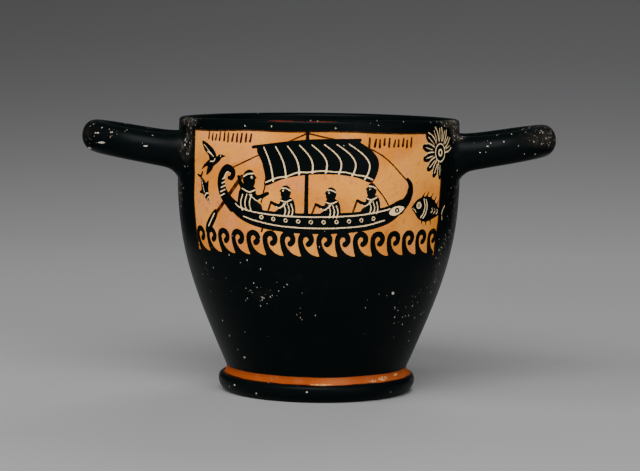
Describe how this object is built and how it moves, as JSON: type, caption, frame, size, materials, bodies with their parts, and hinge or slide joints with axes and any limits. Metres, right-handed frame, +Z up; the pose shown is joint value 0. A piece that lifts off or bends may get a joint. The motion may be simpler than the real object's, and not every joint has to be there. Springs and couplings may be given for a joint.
{
  "type": "skyphos",
  "caption": "Deep footed drinking cup of black-glossed fired clay, with horizontal loop handles below the rim and a painted panel.",
  "frame": {"origin": "middle of the ring that the foot stands on, at table height", "axes": "+Z up along the bowl's turning axis, +X towards one handle, -Y towards the painted side"},
  "size_m": [0.2656, 0.1582, 0.154],
  "materials": {
    "glossed_clay": "black clay gloss with reserved orange clay, semi-gloss, lightly worn"
  },
  "bodies": {
    "root": {"skyphos": "glossed_clay"}
  },
  "joints": []
}
